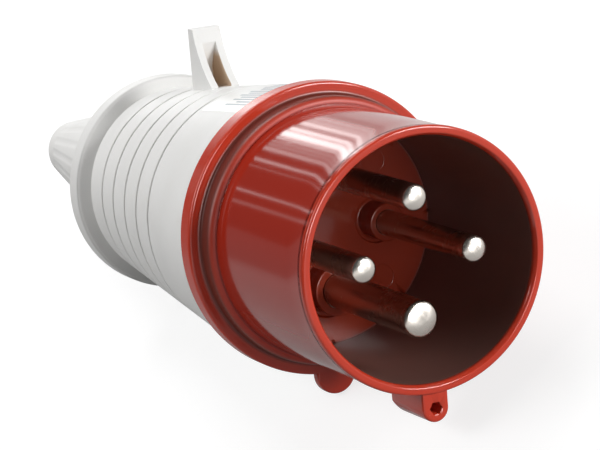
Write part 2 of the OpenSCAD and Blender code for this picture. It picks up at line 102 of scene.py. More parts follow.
camera = add_object("camera", bpy.data.cameras.new("camera"))
camera.data.sensor_width = 36
camera.data.lens = 180
camera.data.clip_start = 0.05
camera.location = camera_at
camera.rotation_mode = "QUATERNION"
camera.rotation_quaternion = (camera_looks_at - camera_at).to_track_quat("-Z", "Y") @ Quaternion(
    (0, 0, 1), np.radians(camera_roll))
bpy.context.scene.camera = camera
print("camera", round((camera_looks_at - camera_at).length, 3), "m from the plug")

# %% [markdown]
# ## Building surfaces
#
# Nearly every part is turned or moulded round an axis, so a surface is a grid
# of points: one way along the profile, one way round. The corner of a
# moulding is never sharp. Each corner of a profile is therefore replaced by a
# short curve, and extra points just outside the curve keep the long straight
# stretches flat, so that they reflect the lamps without a smear.

# %% Profiles and grids
GUARD = 1.35              # where the extra points stand, in roundings


def rounded(corners, steps=6):
    """Corners of radius, station and rounding f become curves (1-t)^2 a + 2t(1-t) c + t^2 b,
    where a and b lie f before and after the corner c on its two sides."""
    table = np.asarray(corners, float)
    p, f = table[:, None, :2], table[:, None, 2:3]
    back, ahead = np.roll(p, 1, 0) - p, np.roll(p, -1, 0) - p
    back /= np.linalg.norm(back, axis=2, keepdims=True)
    ahead /= np.linalg.norm(ahead, axis=2, keepdims=True)
    t = np.linspace(0, 1, steps)[None, :, None]
    a, b = p + back * f, p + ahead * f
    curve = (1 - t) ** 2 * a + 2 * t * (1 - t) * p + t ** 2 * b
    line = np.concatenate([p + back * f * GUARD, curve, p + ahead * f * GUARD], 1).reshape(-1, 2)
    return line[np.linalg.norm(line - np.roll(line, 1, 0), axis=1) > 1e-6]


def turned(profile, count, centre=(0, 0)):
    """Profile point (r, z) at angle a goes to (x0 + r sin a, y0 + r cos a, z)."""
    a = np.arange(count) * 2 * np.pi / count
    r, z = profile[:, :1], profile[:, 1:]
    return np.stack([centre[0] + r * np.sin(a), centre[1] + r * np.cos(a), z + 0 * a], 2)


def quads(grid, wrap):
    """Faces between neighbours of a grid; a wrapped direction joins its last row to its first."""
    rows, columns = grid.shape[:2]
    i, j = np.meshgrid(np.arange(rows - (not wrap[0])), np.arange(columns - (not wrap[1])), indexing="ij")
    i2, j2 = (i + 1) % rows, (j + 1) % columns
    corners = [i * columns + j, i2 * columns + j, i2 * columns + j2, i * columns + j2]
    return np.stack(corners, 2).reshape(-1, 4)


def clock(angle):
    """Unit vector across the plug at an angle from 12 o'clock, clockwise seen from behind."""
    return np.array([np.sin(np.radians(angle)), np.cos(np.radians(angle))])


# %% [markdown]
# ## From grid to finished piece
#
# A piece may consist of several closed surfaces, such as a tube with a key
# on it. They are joined into one mesh, points that meet are merged so that
# seams and poles close, and all faces are turned outwards. Edges sharper than
# about 40 degrees stay crisp; the rest is shaded smooth.

# %% Mesh making
CRISP = np.radians(40)
MERGE = 2e-7              # metres


def make_piece(name, body, surfaces, replaces=()):
    """Joins closed surfaces, each a grid with its wrapped directions or points and faces, into one object."""
    points, faces, start = [], [], 0
    for shape, how in surfaces:
        own = quads(shape, how).tolist() if shape.ndim == 3 else how
        faces += [[v + start for v in face] for face in own]
        points.append(shape.reshape(-1, 3))
        start += len(points[-1])
    mesh = bpy.data.meshes.new(name)
    mesh.from_pydata(placed(np.concatenate(points)).tolist(), [], faces)
    work = bmesh.new()
    work.from_mesh(mesh)
    bmesh.ops.remove_doubles(work, verts=work.verts, dist=MERGE)
    bmesh.ops.dissolve_degenerate(work, edges=work.edges, dist=MERGE)
    bmesh.ops.recalc_face_normals(work, faces=work.faces)
    work.to_mesh(mesh)
    work.free()
    mesh.shade_smooth()
    mesh.set_sharp_from_angle(angle=CRISP)
    piece = add_object(name, mesh)
    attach(piece, body)
    if replaces:
        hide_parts(*replaces)
    print(name, "made with", len(mesh.polygons), "faces")
    return piece


# %% [markdown]
# ## Stations along the plug
#
# These distances behind the rim are shared by several pieces: the shroud's
# floor, the flange, the grey housing's taper and the collar that ends it.

# %% Stations
FLOOR = 41.3
BOSS_TOP = FLOOR - 4.5
FLANGE_FRONT, FLANGE_REAR = 41.2, 45.3
STEP_FRONT = 37.2
TAPER_END = 110.7
COLLAR_REAR = 117.0
NECK_END = 129.0
NUT_FRONT, NUT_END = 117.3, 172.3
CAVITY_FRONT = 46.9       # where the wire barrels and the housing's front recess start
TUBE_R, STEP_R, FLANGE_R = 24.7, 26.2, 28.7
HOUSING_R, TAPER_R, COLLAR_R, NECK_R = 27.9, 20.5, 22.9, 11.9
PIN_CIRCLE = 11.5
EARTH_R, PHASE_R = 3.5, 2.5
ROUND = 192               # points around the large mouldings


def housing_r(z):
    """Outer radius of the housing, shrinking evenly from the flange to the taper's end."""
    return HOUSING_R - (HOUSING_R - TAPER_R) * (z - FLANGE_REAR) / (TAPER_END - FLANGE_REAR)


# %% [markdown]
# ## Front shell: shroud and flange
#
# The red front is one injection moulding. Its tube flares a little towards
# the rim, and has a step and a wide flange. One closed profile goes from the
# bore over the rim and the flange to the spigot inside the housing, and is
# turned once around. The long soft curve of the flare matters more than its
# height: it is what bends the reflections along the rim.

# %% Shroud profile
shroud = rounded([
    (22.8, FLOOR, 0), (23.0, 0.75, 0.3), (23.5, 0, 0.22), (24.9, 0, 0.6), (24.9, 1.4, 0.6),
    (TUBE_R, 4.6, 2.4), (TUBE_R, STEP_FRONT, 0.06),
    (STEP_R, STEP_FRONT, 1.4), (STEP_R, FLANGE_FRONT + 0.02, 0.8),
    (FLANGE_R, FLANGE_FRONT, 0.6), (FLANGE_R, FLANGE_REAR, 0.35), (24.4, FLANGE_REAR, 0),
    (24.4, 56.9, 0.4), (22.3, 56.9, 0.4), (22.3, FLANGE_REAR, 0), (22.8, FLANGE_REAR - 0.4, 0),
])
shroud_grid = turned(shroud, ROUND)
print("shroud profile has", len(shroud), "points")

# %% [markdown]
# ## Floor with its pin bosses
#
# The floor carries a raised boss around each pin, with a narrow moat around
# the boss. A round grid centred on the plug can't follow four off-centre
# bosses, so each quarter of the floor gets its own polar grid centred on its
# pin. Its rows run over the boss and through the moat and then out to the
# quarter's edge, whose distance is the nearest hit on two straight sides and
# the bore. Mirror-equal angles make the neighbouring quarters meet.

# %% Floor quarters
BORE = 22.85


def quarter_angles(count):
    """Angles round a pin, even on both sides, with the quarter's outer and inner corners among them."""
    corner = np.arctan2(BORE * np.sqrt(0.5), BORE * np.sqrt(0.5) - PIN_CIRCLE)
    half = np.concatenate([np.linspace(0, corner, count // 4, endpoint=False),
                           np.linspace(corner, np.pi, count // 4 + 1)])
    return np.concatenate([half, -half[-2:0:-1]])


def quarter_edge(t):
    """Distance from the pin to the quarter's edge along each angle t from straight outwards."""
    out, across = np.cos(t), np.sin(t)
    arc = -PIN_CIRCLE * out + np.sqrt((PIN_CIRCLE * out) ** 2 + BORE ** 2 - PIN_CIRCLE ** 2)
    with np.errstate(divide="ignore"):
        sides = PIN_CIRCLE / np.maximum(np.abs(across) - out, 1e-12)
    return np.minimum(arc, sides)


def floor_quarter(angle, pin_r, boss_r):
    """Rows round the pin: its hole, the boss's top and side, the moat, and on to the quarter's edge."""
    top = BOSS_TOP
    rows = rounded([
        (0, top + 1.6, 0), (pin_r + 0.35, top + 1.6, 0), (pin_r + 0.35, top + 0.4, 0),
        (pin_r + 0.06, top + 0.35, 0), (pin_r + 0.06, top, 0.05), (boss_r, top, 0.3),
        (boss_r + 0.05, FLOOR + 0.7, 0.2), (boss_r + 0.85, FLOOR + 0.7, 0.2), (boss_r + 1.0, FLOOR, 0.18),
        (boss_r + 1.6, FLOOR, 0),
    ], 5)[:-1]
    t = quarter_angles(96)
    edge = quarter_edge(t)
    share = np.linspace(0, 1, 6)[:, None]
    last = rows[-1]
    r = np.concatenate([rows[:, :1] + 0 * t, last[0] + (edge - last[0]) * share])
    z = np.concatenate([rows[:, 1:] + 0 * t, last[1] + (FLOOR - last[1]) * (share > 0) + 0 * t])
    out, across = PIN_CIRCLE + r * np.cos(t), r * np.sin(t)
    o, c = clock(angle), clock(angle + 90)
    return np.stack([out * o[0] + across * c[0], out * o[1] + across * c[1], z], 2)


quarters = [(180, EARTH_R, 5.1)] + [(angle, PHASE_R, 3.7) for angle in (90, 0, 270)]
floor_grids = [(floor_quarter(*q), (False, True)) for q in quarters]
skirt = turned(np.array([(BORE, FLOOR), (BORE, FLANGE_REAR - 0.2), (0, FLANGE_REAR - 0.2)]), ROUND)
print("floor has", len(floor_grids), "quarters")

# %% [markdown]
# ## Marks of the unused positions
#
# Fine rings stand on the floor between the bosses, a hair above its surface,
# as a mould leaves them where it could make pins for another kind of plug.

# %% Ring marks
MARK_CIRCLE = 16.4
mark = rounded([(2.45, FLOOR - 0.1, 0.05), (2.65, FLOOR - 0.1, 0.05),
                (2.65, FLOOR + 0.3, 0), (2.45, FLOOR + 0.3, 0)], 3)
marks = [(turned(mark, 48, MARK_CIRCLE * clock(a)), (True, True)) for a in (45, 135, 225, 315)]
print("marks at 45, 135, 225 and 315 degrees")

# %% [markdown]
# ## Key
#
# The key under the rim only lets the plug into its own kind of socket. Its
# outline is a U with straight sides into the shroud, and its face has a
# hexagonal blind hole. Rows of points start at the hole's bottom, come up its
# six sides, cross the face, and run back along the key. The lower rear end
# slopes off like a boat's stern.

# %% Key rows
KEY_HALF, KEY_CENTRE, KEY_TOP = 2.65, -27.75, -23.9
KEY_FRONT, KEY_REAR = 0.5, 13.1
HEX_HALF = 1.25           # from the hole's middle to a corner


def key_rows(count):
    """At each angle the hole's edge is a hexagon and the key's edge is a U:
    a half circle below the centre, and above it the nearest hit on the sides and the flat top."""
    t = np.arange(count) * 2 * np.pi / count
    x, y = np.sin(t), np.cos(t)
    hexagon = HEX_HALF * np.cos(np.pi / 6) / np.cos((t + np.pi / 6) % (np.pi / 3) - np.pi / 6)
    with np.errstate(divide="ignore"):
        flat_top = np.where(y > 0, (KEY_TOP - KEY_CENTRE) / np.maximum(y, 1e-9), np.inf)
        outline = np.where(y > 0, np.minimum(KEY_HALF / np.abs(x), flat_top), KEY_HALF)
    inset = np.array([0.5, 0.27, 0.12, 0.03, 0, 0])
    depth = np.array([0, 0.03, 0.12, 0.27, 0.5, 0.8])
    size = np.concatenate([[0 * t, hexagon - 0.02, hexagon - 0.02, hexagon + 0.02, hexagon + 0.12],
                           [outline - 0.8], outline - inset[:, None]])
    z = np.concatenate([[0 * t + 8.5, 0 * t + 8.3, 0 * t + 0.7, 0 * t + 0.58, 0 * t + KEY_FRONT],
                        [0 * t + KEY_FRONT], KEY_FRONT + depth[:, None] + 0 * t])
    px, py = size * x, KEY_CENTRE + size * y
    stern = np.minimum(KEY_REAR, 10.5 + (outline * y + KEY_CENTRE + 30.4) * 1.19)
    back = [stern - 0.25, stern - 0.06, stern]
    shrink = [0, 0.08, 0.3]
    px = np.concatenate([px, [(outline - s) * x for s in shrink], [0 * x]])
    py = np.concatenate([py, [KEY_CENTRE + (outline - s) * y for s in shrink], [KEY_CENTRE + 0 * y]])
    z = np.concatenate([z, back, [0 * t + KEY_REAR]])
    return np.stack([px, py, z], 2)


# %% [markdown]
# ## Tab
#
# The half-round tab under the flange is a disc whose upper half is buried in
# the moulding. Turning it about its own centre gives it an even rounded rim.

# %% Tab and the finished front shell
TAB_R, TAB_REAR, TAB_CENTRE = 4.1, 43.4, -28.9
tab = rounded([(0, FLANGE_FRONT + 0.02, 0), (TAB_R, FLANGE_FRONT + 0.02, 0.55),
               (TAB_R, TAB_REAR, 0.35), (0, TAB_REAR, 0)])
front_shell = make_piece("front_shell_moulding", "plug", [
    (shroud_grid, (True, True)), *floor_grids, (skirt, (False, True)), *marks,
    (key_rows(144), (False, True)), (turned(tab, 96, (0, TAB_CENTRE)), (False, True)),
], ["front_shell"])

# %% [markdown]
# ## Contact pins
#
# Each pin is turned from one brass bar and plated: a flat cone at the tip, a
# straight shank, a slightly thicker root that fills the boss, a collar that
# seats on the floor from behind, and a hollow barrel for the wire. The earth
# pin is thicker.

# %% Pins


def make_pin(name, angle, r, tip, barrel):
    """Profile from tip over shank and collar into the barrel's hole, turned about the pin's own centre."""
    profile = rounded([
        (0, tip, 0), (r * 0.9, tip + 1.1, 0.28), (r * 0.985, tip + 1.4, 0.15), (r, tip + 1.7, 0.2),
        (r, BOSS_TOP + 0.45, 0), (r + 0.3, BOSS_TOP + 0.45, 0), (r + 0.3, FLANGE_REAR, 0),
        (barrel + 0.8, FLANGE_REAR, 0.1), (barrel + 0.8, CAVITY_FRONT, 0.15), (barrel, CAVITY_FRONT, 0),
        (barrel, 65.9, 0.35), (2.2, 65.9, 0.35), (2.2, 52.9, 0), (0, 51.9, 0),
    ])
    return make_piece(name.replace("pin", "contact"), "plug",
                      [(turned(profile, 96, PIN_CIRCLE * clock(angle)), (False, True))], [name])


pins = [make_pin("earth_pin", 180, EARTH_R, 2.4, 4.6)] + [
    make_pin("l%d_pin" % i, angle, PHASE_R, 1.1, 4.2) for i, angle in ((1, 90), (2, 0), (3, 270))]

# %% [markdown]
# ## Housing
#
# The grey housing tapers towards the cable. Five fine grooves run round it,
# and its end flares out into a collar with a soft lip. The
# profile lists each groove as four corners, computed from its place on the
# taper, so that groove and taper always agree.

# %% Housing profile
HOUSING_WALL = 2.2
GROOVES, FIRST_GROOVE, GROOVE_PITCH, GROOVE = 5, 69.5, 8.2, 0.4
groove_at = FIRST_GROOVE + GROOVE_PITCH * np.arange(GROOVES)
groove_steps = GROOVE * np.array([(-1, 0), (-1, -1), (1, -1), (1, 0)])
groove_round = np.tile([0.3, 0.14, 0.14, 0.3], GROOVES)
groove_z = (groove_at[:, None] + groove_steps[:, 0]).ravel()
groove_r = housing_r(groove_z) + np.tile(groove_steps[:, 1], GROOVES)
outside = np.concatenate([
    [(HOUSING_R, FLANGE_REAR, 0.3)], np.stack([groove_r, groove_z, groove_round], 1),
    [(TAPER_R, TAPER_END, 0.15), (19.9, TAPER_END + 0.3, 0.15), (19.9, TAPER_END + 0.75, 0.2),
     (22.5, TAPER_END + 1.8, 0.35), (COLLAR_R, TAPER_END + 2.4, 0.3),
     (COLLAR_R, COLLAR_REAR, 0.45), (NECK_R, COLLAR_REAR, 0.2), (NECK_R, NECK_END, 0.5)],
])
inside = np.array([
    (9.9, NECK_END, 0.2), (9.9, 118.9, 0), (8.6, 118.9, 0.2), (8.6, 113.7, 0.3), (10.1, 112.2, 0.3),
    (housing_r(109.2) - HOUSING_WALL, 109.2, 0.8), (housing_r(59.3) - HOUSING_WALL, 59.3, 0.3),
    (24.6, 58.3, 0.2),
    (24.6, CAVITY_FRONT, 0), (26.1, CAVITY_FRONT, 0), (26.1, FLANGE_REAR, 0.2),
])
housing_line = rounded(np.concatenate([outside, inside]), 5)
print("housing profile has", len(housing_line), "points")

# %% [markdown]
# ## Thread on the neck
#
# The gland nut screws on the housing's neck. The thread is a low ridge that
# winds round the neck: a triangle is carried along a helix, rising one pitch
# a turn, and it fades in and out at both ends.

# %% Helical ridge
PITCH, THREAD_TURNS, PER_TURN = 3.0, 3, 72
THREAD_ROOT, THREAD_START = 11.85, 118.4


def thread():
    """Section point (out, along) at angle a: radius root + out, station start + along + pitch a / 2 pi."""
    a = np.linspace(0, THREAD_TURNS * 2 * np.pi, THREAD_TURNS * PER_TURN + 1)
    fade = np.clip(np.minimum(a, a[-1] - a) / 0.6, 0.02, 1)
    out = np.array([-0.3, 0.0, 0.22, 0.22, 0.0, -0.3])[:, None] * np.where(fade < 1, fade, 1)
    along = np.array([-0.5, -0.45, -0.15, 0.15, 0.45, 0.5])[:, None]
    r = THREAD_ROOT + out
    z = THREAD_START + along + PITCH * a / (2 * np.pi)
    return np.stack([r * np.sin(a), r * np.cos(a), z], 2)


def ends(grid):
    """The two end faces that close a section carried along a path."""
    rows, columns = grid.shape[:2]
    first = [i * columns for i in range(rows)]
    last = [i * columns + columns - 1 for i in range(rows)]
    return [first, last[::-1]]


ridge = thread()
ridge_faces = quads(ridge, (True, False)).tolist() + ends(ridge)
housing = make_piece("housing_moulding", "plug", [
    (turned(housing_line, ROUND), (True, True)), (ridge.reshape(-1, 3), ridge_faces),
], ["housing"])

# %% [markdown]
# ## Lid catch
#
# The catch on top of the housing hooks the spring lid of a socket. It is a
# hollow fin: a solid head, a hollow ramp towards the front, and a pocket in
# the ramp whose back wall slopes in from under the head. The outline is drawn
# once in side view and repeated at four places across; the pocket lies
# between the middle two. A small bevel finishes all its edges.

# %% Catch outline
CATCH_REAR, CATCH_REACH, CATCH_HALF, POCKET_HALF = 91.7, 35.3, 3.1, 1.5
top_front = np.array([CATCH_REAR - 2.2, CATCH_REACH])
foot = np.array([CATCH_REAR - 9.6, housing_r(CATCH_REAR - 9.6) + 0.1])
chord = foot - top_front
RAMP_R = 21.2
ramp_centre = (top_front + foot) / 2 + np.array([chord[1], -chord[0]]) / np.linalg.norm(chord) * np.sqrt(
    RAMP_R ** 2 - (chord @ chord) / 4)


def ramp(r):
    """Points of the hollow ramp at heights r: on its circle at the angle arcsin((r - centre) / radius)."""
    a = np.arcsin((r - ramp_centre[1]) / RAMP_R)
    return ramp_centre + RAMP_R * np.stack([np.cos(a), np.sin(a)], -1)


CAP, CAP_POINTS = CATCH_REACH - 2.9, 4
heights = np.concatenate([np.linspace(CATCH_REACH, CAP, CAP_POINTS), np.linspace(CAP, foot[1], 14)[1:]])
ramp_line = ramp(heights)
buried = np.array([(CATCH_REAR, housing_r(CATCH_REAR) - 1.1), (foot[0], housing_r(foot[0]) - 1.1)])
outline = np.concatenate([buried[:1], [(CATCH_REAR, CATCH_REACH)], ramp_line, buried[1:]])
pocket = np.array([(CATCH_REAR - 1.1, CAP - 5.4), (CATCH_REAR - 1.1, buried[0, 1])])
ramp_error = float(abs(ramp_line[0] - top_front).max())
print("catch outline has", len(outline), "points, ramp error", round(ramp_error, 4))

# %% Catch faces
n = len(outline)
q = 1 + CAP_POINTS        # the ramp's point at the underside of the cap
across = np.array([-CATCH_HALF, -POCKET_HALF, POCKET_HALF, CATCH_HALF])
catch_points = np.concatenate([
    np.stack([np.repeat(across, n), np.tile(outline[:, 1], 4), np.tile(outline[:, 0], 4)], 1),
    np.stack([np.repeat(across[1:3], 2), np.tile(pocket[:, 1], 2), np.tile(pocket[:, 0], 2)], 1)])
loop = list(range(n))
strip = [[L * n + k, L * n + k + 1, (L + 1) * n + k + 1, (L + 1) * n + k]
         for k in range(n - 1) for L in range(3) if k < q or L != 1]
P1, P2 = [4 * n, 4 * n + 1], [4 * n + 2, 4 * n + 3]
inner = [[L * n + k for k in range(q, n)] + P[::-1] for L, P in ((1, P1), (2, P2))]
roof = [[n + q, 2 * n + q, P2[0], P1[0]], [P1[0], P2[0], P2[1], P1[1]]]
under = [[n - 1, 0, n, P1[1], 2 * n - 1], [3 * n - 1, P2[1], 2 * n, 3 * n, 4 * n - 1],
         [n, 2 * n, P2[1], P1[1]]]
catch_faces = [loop, [3 * n + k for k in loop]] + strip + inner + roof + under
catch = make_piece("lid_catch", "plug", [(catch_points, catch_faces)], ["housing"])
softer = catch.modifiers.new("soft edges", "BEVEL")
softer.width = 0.0005
softer.segments = 3
softer.limit_method = "ANGLE"
softer.angle_limit = np.radians(38)
softer.harden_normals = True

# %% [markdown]
# ## Gland nut
#
# The nut squeezes the cable. It is a long cone with shallow flutes for the
# fingers. A turned grid is enough: at every height and angle the radius is
# made smaller by the flute's depth, times a rounded notch around each
# flute's middle, times a fade at both ends of the flutes.

# %% Nut surface
FLUTES, FLUTE_DEPTH, FLUTE_HALF = 18, 0.14, 0.9
FLUTE_START, FLUTE_STOP = NUT_FRONT + 3.6, NUT_FRONT + 49.3
NUT_R, NUT_TIP_R, OUTLET_R = 16.9, 6.3, 5.0


def nut_r(z):
    """Outer radius of the nut, shrinking evenly from its front to its end."""
    return NUT_R - (NUT_R - NUT_TIP_R) * (z - NUT_FRONT) / (NUT_END - NUT_FRONT)


def fluted(profile, count):
    """Turned surface whose outside sinks by depth x (1 - (w / half width)^2) at arc w from a flute."""
    grid = turned(profile, count)
    a = np.arange(count) * 2 * np.pi / count
    r, z = profile[:, :1], profile[:, 1:]
    pitch = 2 * np.pi / FLUTES
    w = np.abs((a + pitch / 2) % pitch - pitch / 2) * r
    fade = np.clip((z - FLUTE_START) / 0.8, 0, 1) * np.clip((FLUTE_STOP - z) / 1.5, 0, 1)
    outer = r > nut_r(z) - 0.3
    sunk = FLUTE_DEPTH * np.clip(1 - (w / FLUTE_HALF) ** 2, 0, 1) * fade * outer
    grid[..., :2] *= ((r - sunk) / np.maximum(r, 1e-9))[..., None]
    return grid


along_nut = NUT_FRONT + np.concatenate([
    np.linspace(3.4, 4.6, 7), np.linspace(6, 46, 16), np.linspace(47.5, 49.5, 7)])
nut_side = np.stack([nut_r(along_nut), along_nut, 0 * along_nut], 1)
nut_line = rounded(np.concatenate([
    [(12.5, NUT_FRONT, 0.15), (nut_r(NUT_FRONT + 0.3), NUT_FRONT, 0.55)], nut_side,
    [(NUT_TIP_R - 0.01, NUT_END, 1.25), (OUTLET_R, NUT_END, 0.3), (OUTLET_R, NUT_END - 11, 0.4),
     (9.6, 141.1, 0.3),
     (9.9, 131.5, 0), (12.2, 131.5, 0), (12.2, NUT_FRONT + 0.5, 0)],
]), 5)
gland_nut = make_piece("gland_nut_moulding", "gland",
                       [(fluted(nut_line, FLUTES * 16), (True, True))], ["gland_nut"])

# %% [markdown]
# ## Rating label
#
# A thin film sits on the housing between the flange and the first groove.
# Here it stays bare apart from fine plain bars. It is a patch of the
# housing's own cone, lifted by its thickness, and its UV map runs along and
# across it so that the bars can follow the film.

# %% Label patch
LABEL_Z, LABEL_ANGLE, LABEL_T = (47.2, 67.0), (-17.0, 29.0), 0.06
ROWS, COLUMNS = 24, 48


def label_sheet(lift):
    """Point (u, v) of the film: station from u, angle from v, radius of the housing plus the lift."""
    z = np.linspace(*LABEL_Z, ROWS)[:, None]
    a = np.radians(np.linspace(*LABEL_ANGLE, COLUMNS))[None]
    r = housing_r(z) + lift
    return np.stack([r * np.sin(a), r * np.cos(a), z + 0 * a], 2)


film = np.stack([label_sheet(LABEL_T), label_sheet(0.01)])
top_faces = quads(film[0], (False, False))
number = np.arange(ROWS * COLUMNS).reshape(ROWS, COLUMNS)
edge = np.concatenate([number[0], number[1:, -1], number[-1, -2::-1], number[-2:0:-1, 0]])
wall = np.stack([edge, np.roll(edge, -1), np.roll(edge, -1) + number.size, edge + number.size], 1)
film_faces = np.concatenate([top_faces, top_faces + number.size, wall]).tolist()
label = make_piece("rating_label", "plug", [(film.reshape(-1, 3), film_faces)])

spot = np.zeros(len(label.data.vertices) * 3)
label.data.vertices.foreach_get("co", spot)
local = (spot.reshape(-1, 3) * 1000 - rim_centre) @ np.array([side, noon, rearward]).T
u = (local[:, 2] - LABEL_Z[0]) / (LABEL_Z[1] - LABEL_Z[0])
around = np.degrees(np.arctan2(local[:, 0], local[:, 1]))
v = (around - LABEL_ANGLE[0]) / (LABEL_ANGLE[1] - LABEL_ANGLE[0])
corner_of = np.zeros(len(label.data.loops), int)
label.data.loops.foreach_get("vertex_index", corner_of)
label.data.uv_layers.new(name="film").data.foreach_set("uv", np.stack([u, v], 1)[corner_of].ravel())
print("label covers", LABEL_Z, "mm behind the rim")

# %% [markdown]
# ## Shared surface effects
#
# Real mouldings and turned pins share a few effects: a very fine grain, the
# rubs and scratches of handling, and a little dust on what faces up. Each is
# a shader node group that only puts out a number, so that every material can
# use it with its own amount while the shader itself stays in the material.

# %% Group tools


def new_group(name, inputs, outputs):
    """A shader node group with named float or vector inputs and outputs."""
    group = bpy.data.node_groups.new(name, "ShaderNodeTree")
    for label_name, kind, value in inputs:
        socket = group.interface.new_socket(name=label_name, in_out="INPUT", socket_type="NodeSocket" + kind)
        socket.default_value = value
    for label_name, kind in outputs:
        group.interface.new_socket(name=label_name, in_out="OUTPUT", socket_type="NodeSocket" + kind)
    return group, group.nodes.new("NodeGroupInput"), group.nodes.new("NodeGroupOutput")


def node(tree, kind, links=(), **settings):
    """Adds a node, sets its properties, and feeds its inputs with numbers or with other nodes' outputs."""
    made = tree.nodes.new("ShaderNode" + kind)
    for key, value in settings.items():
        setattr(made, key, value)
    for key, value in dict(links).items():
        if isinstance(value, bpy.types.NodeSocket):
            tree.links.new(value, made.inputs[key])
        else:
            made.inputs[key].default_value = value
    return made


def math(tree, operation, a, b=0.0, c=None):
    """One sum of a Math node; its result socket."""
    links = {0: a, 1: b} if c is None else {0: a, 1: b, 2: c}
    return node(tree, "Math", links, operation=operation).outputs[0]


def remap(tree, value, low, high, to_low=0.0, to_high=1.0):
    """Low to high becomes to_low to to_high, held at both ends."""
    return node(tree, "MapRange", {"Value": value, "From Min": low, "From Max": high,
                                   "To Min": to_low, "To Max": to_high}).outputs["Result"]


def noise(tree, where, scale, detail, roughness=0.5):
    """Soft noise in space."""
    return node(tree, "TexNoise", {"Vector": where, "Scale": scale, "Detail": detail,
                                   "Roughness": roughness}).outputs["Fac"]


def on_object(tree):
    """Object coordinates, in metres."""
    return node(tree, "TexCoord").outputs["Object"]


def vector(tree, operation, a, b=(0, 0, 0), scale=1.0):
    """One Vector Math node; its result socket."""
    made = node(tree, "VectorMath", {0: a, 1: b, 3: scale}, operation=operation)
    return made.outputs["Value" if operation in ("DOT_PRODUCT", "LENGTH") else "Vector"]


def times(tree, *factors):
    """Product of all the factors."""
    product = factors[0]
    for factor in factors[1:]:
        product = math(tree, "MULTIPLY", product, factor)
    return product


# %% [markdown]
# ### Moulded grain
#
# Injection mouldings are never mirror flat. A fine noise stands for the spark
# grain of the mould, and a slow one for the skin's slight waviness, which
# bends reflections. Both are added up to one height for a Bump node.

# %% Moulded grain group
grain_group, g_in, g_out = new_group(
    "moulded grain", [("Vector", "Vector", (0, 0, 0)), ("Grain", "Float", 1.0), ("Waviness", "Float", 1.0)],
    [("Height", "Float"), ("Tone", "Float")])
fine = noise(grain_group, g_in.outputs["Vector"], 2600.0, 3.0)
slow = noise(grain_group, g_in.outputs["Vector"], 55.0, 1.5)
height = math(grain_group, "ADD", times(grain_group, fine, g_in.outputs["Grain"]),
              times(grain_group, slow, g_in.outputs["Waviness"]))
grain_group.links.new(height, g_out.inputs["Height"])
grain_group.links.new(slow, g_out.inputs["Tone"])
print("group", grain_group.name)

# %% [markdown]
# ### Handling marks
#
# Plugs are pushed, pulled and dropped. Thin scratches come from a noise that
# is stretched along the plug and cut off high, and broad rubs from a soft
# patchy noise. The mask makes a surface duller and gives it a worn colour.

# %% Handling marks group
marks_group, g_in, g_out = new_group(
    "handling marks", [("Vector", "Vector", (0, 0, 0)), ("Scratches", "Float", 1.0), ("Rubs", "Float", 1.0)],
    [("Mask", "Float")])
tilted = node(marks_group, "Mapping", {"Vector": g_in.outputs["Vector"], "Rotation": (0.5, 0.2, 0.9),
                                       "Scale": (900.0, 60.0, 700.0)})
thin = remap(marks_group, noise(marks_group, tilted.outputs["Vector"], 1.0, 2.0), 0.7, 0.78)
broad = remap(marks_group, noise(marks_group, g_in.outputs["Vector"], 90.0, 4.0, 0.6), 0.48, 0.75)
mask = math(marks_group, "ADD", times(marks_group, thin, g_in.outputs["Scratches"]),
            times(marks_group, broad, g_in.outputs["Rubs"]))
marks_group.links.new(mask, g_out.inputs["Mask"])
print("group", marks_group.name)

# %% [markdown]
# ### Dust
#
# Dust settles on what faces up and gathers in specks. The mask is the upward
# share of the surface normal, times a speckled noise, times the amount.

# %% Dust group
dust_group, g_in, g_out = new_group(
    "settled dust", [("Vector", "Vector", (0, 0, 0)), ("Amount", "Float", 0.1)], [("Mask", "Float")])
shape = node(dust_group, "NewGeometry")
upward = node(dust_group, "SeparateXYZ", {"Vector": shape.outputs["Normal"]})
facing = remap(dust_group, upward.outputs["Z"], 0.1, 1.0)
specks = remap(dust_group, noise(dust_group, g_in.outputs["Vector"], 900.0, 4.0, 0.7), 0.45, 0.75)
dusty = times(dust_group, facing, specks, g_in.outputs["Amount"])
dust_group.links.new(dusty, g_out.inputs["Mask"])
print("group", dust_group.name)

# %% [markdown]
# ### Distance from the plug's axis and rim
#
# Some marks follow the turning of a pin or the flow of the plastic. This
# group turns an object point into its distance behind the rim, a dot product,
# and from the plug's axis, a cross product's length, both in millimetres.

# %% Plug coordinates group
axes_group, g_in, g_out = new_group(
    "plug coordinates", [("Vector", "Vector", (0, 0, 0))], [("Behind rim", "Float"), ("From axis", "Float")])


def from_rim(tree, where):
    """Object point minus the rim's centre, in metres."""
    return vector(tree, "SUBTRACT", where, tuple(rim_centre / 1000))


offset = from_rim(axes_group, g_in.outputs["Vector"])
behind = vector(axes_group, "DOT_PRODUCT", offset, tuple(rearward))
radius = vector(axes_group, "LENGTH", vector(axes_group, "CROSS_PRODUCT", offset, tuple(rearward)))
axes_group.links.new(times(axes_group, behind, 1000.0), g_out.inputs["Behind rim"])
axes_group.links.new(times(axes_group, radius, 1000.0), g_out.inputs["From axis"])
print("group", axes_group.name)

# %% [markdown]
# ## Finishes
#
# One function lays out what the plastics share: grain to bump, marks and dust
# to colour and roughness. Numbers that are the same all over a surface are
# set on the shader's own sockets.

# %% Plastic maker


def use_group(tree, group, links):
    """Places a node group in a material with its own values."""
    return node(tree, "Group", links, node_tree=group)


def mixed(tree, share, first, second):
    """Colour between two colours."""
    return node(tree, "Mix", {0: share, 6: first, 7: second}, data_type="RGBA").outputs[2]


DUST_COLOUR = (0.55, 0.53, 0.5, 1)


